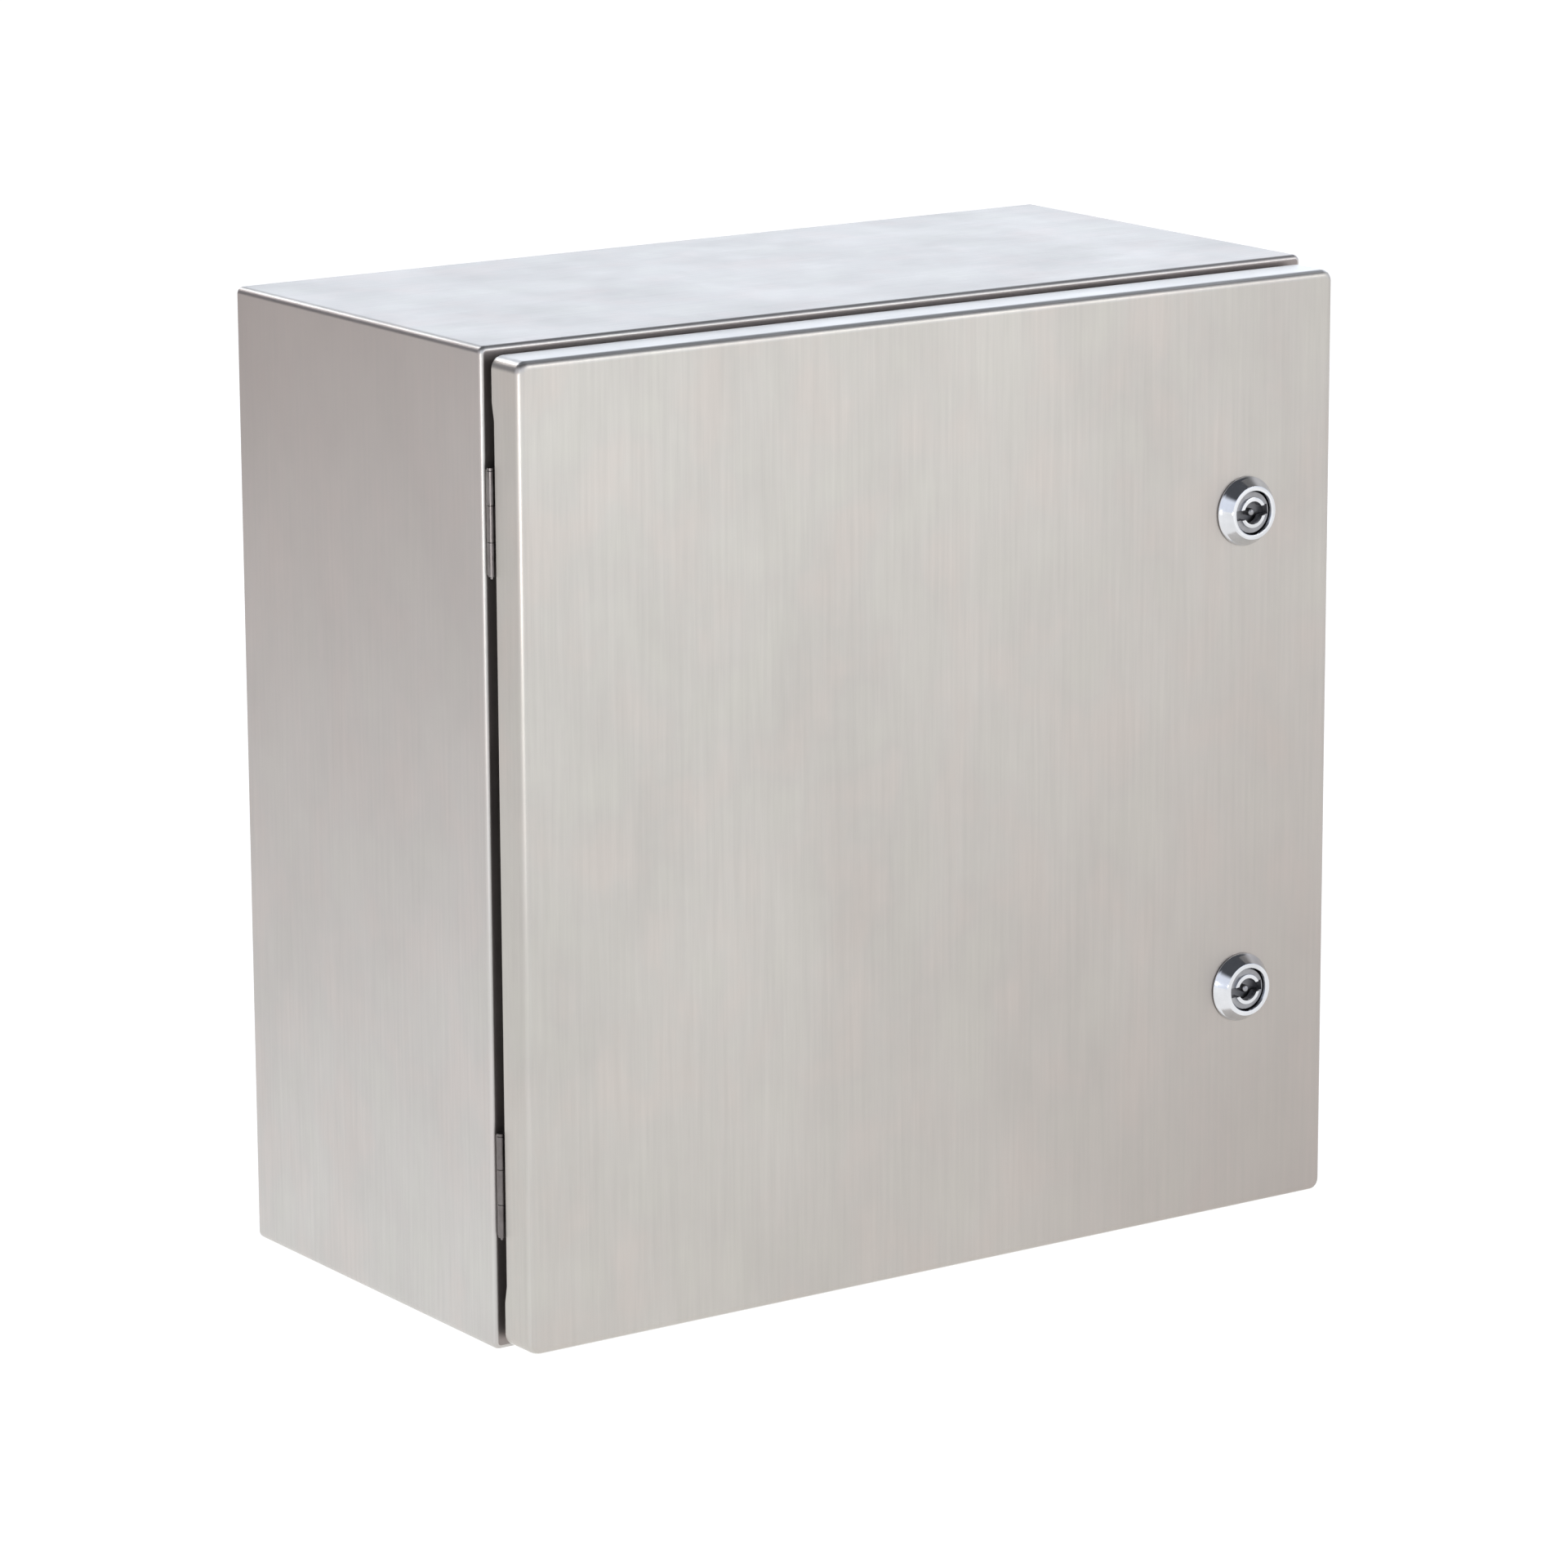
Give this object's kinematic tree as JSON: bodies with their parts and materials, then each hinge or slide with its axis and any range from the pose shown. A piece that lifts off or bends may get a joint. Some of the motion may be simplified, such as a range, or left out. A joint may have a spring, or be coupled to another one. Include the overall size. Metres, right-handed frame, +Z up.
{
  "type": "fused disconnect switch in a wall enclosure",
  "caption": "Stainless steel wall enclosure with a hinged locking door, holding a fuse switch disconnector whose swing-out carrier pulls the fuse links clear.",
  "frame": {"origin": "centre of the rear wall's outer face, which lies against the wall", "axes": "+Y into the wall, -Y out of the door, +Z up, +X towards the locks"},
  "size_m": [0.4, 0.2162, 0.4],
  "materials": {
    "stainless_shell": "brushed, grain 240",
    "stainless_door": "brushed, grain 240",
    "lock_chrome": "polished",
    "zinc_hardware": "bright zinc plated",
    "zinc_plate": "galvanised sheet",
    "copper": "drawn copper bar",
    "contact_silver": "silver-plated copper",
    "grey_moulding": "fine moulded texture",
    "dark_moulding": "fine moulded texture",
    "blue_moulding": "fine moulded texture",
    "black_plug": "moulded",
    "fuse_ceramic": "glazed, with silver-plated blades",
    "clear_window": "clear polycarbonate",
    "seal_rubber": "foamed seal"
  },
  "bodies": {
    "enclosure": {"enclosure_shell": "stainless_shell", "gland_plate": "stainless_shell", "gland_gasket": "seal_rubber", "mounting_plate": "zinc_plate", "switch_base": "dark_moulding", "terminal_cover_line": "grey_moulding", "terminal_cover_load": "grey_moulding", "earth_bar": "copper", "neutral_bar": "copper", "neutral_insulator": "blue_moulding", "gland_nut_front_left": "zinc_hardware", "gland_nut_front_right": "zinc_hardware", "gland_nut_rear_left": "zinc_hardware", "gland_nut_rear_right": "zinc_hardware", "plate_nut_lower_left": "zinc_hardware", "wall_hole_plug_lower_left": "black_plug", "plate_nut_lower_right": "zinc_hardware", "wall_hole_plug_lower_right": "black_plug", "plate_nut_upper_left": "zinc_hardware", "wall_hole_plug_upper_left": "black_plug", "plate_nut_upper_right": "zinc_hardware", "wall_hole_plug_upper_right": "black_plug", "body_hinge_leaf_upper": "zinc_hardware", "hinge_pin_upper": "zinc_hardware", "body_hinge_leaf_lower": "zinc_hardware", "hinge_pin_lower": "zinc_hardware", "contact_l1_line": "contact_silver", "terminal_bolt_l1_line": "zinc_hardware", "contact_l1_load": "contact_silver", "terminal_bolt_l1_load": "zinc_hardware", "contact_l2_line": "contact_silver", "terminal_bolt_l2_line": "zinc_hardware", "contact_l2_load": "contact_silver", "terminal_bolt_l2_load": "zinc_hardware", "contact_l3_line": "contact_silver", "terminal_bolt_l3_line": "zinc_hardware", "contact_l3_load": "contact_silver", "terminal_bolt_l3_load": "zinc_hardware"},
    "door": {"door_panel": "stainless_door", "door_gasket": "seal_rubber", "door_hinge_leaf_upper": "zinc_hardware", "door_hinge_leaf_lower": "zinc_hardware", "lock_housing_upper": "lock_chrome", "lock_housing_lower": "lock_chrome", "lock_nut_upper": "zinc_hardware", "lock_nut_lower": "zinc_hardware"},
    "lock_barrel_upper": {"lock_insert_upper": "lock_chrome", "lock_cam_upper": "zinc_hardware", "cam_screw_upper": "zinc_hardware"},
    "lock_barrel_lower": {"lock_insert_lower": "lock_chrome", "lock_cam_lower": "zinc_hardware", "cam_screw_lower": "zinc_hardware"},
    "carrier": {"fuse_carrier": "grey_moulding", "carrier_window": "clear_window", "fuse_link_l1": "fuse_ceramic", "fuse_link_l2": "fuse_ceramic", "fuse_link_l3": "fuse_ceramic"}
  },
  "joints": [
    {"name": "door_hinge", "type": "hinge", "parent": "enclosure", "child": "door", "pos_m": [-0.1983, -0.19, 0], "axis": [0, 0, -1], "range_deg": [0, 130]},
    {"name": "lock_upper_turn", "type": "hinge", "parent": "door", "child": "lock_barrel_upper", "pos_m": [0.153, -0.2, 0.101], "axis": [0, 1, 0], "range_deg": [0, 90]},
    {"name": "lock_lower_turn", "type": "hinge", "parent": "door", "child": "lock_barrel_lower", "pos_m": [0.153, -0.2, -0.101], "axis": [0, 1, 0], "range_deg": [0, 90]},
    {"name": "carrier_hinge", "type": "hinge", "parent": "enclosure", "child": "carrier", "pos_m": [0, -0.0785, -0.029], "axis": [1, 0, 0], "range_deg": [0, 85]}
  ]
}
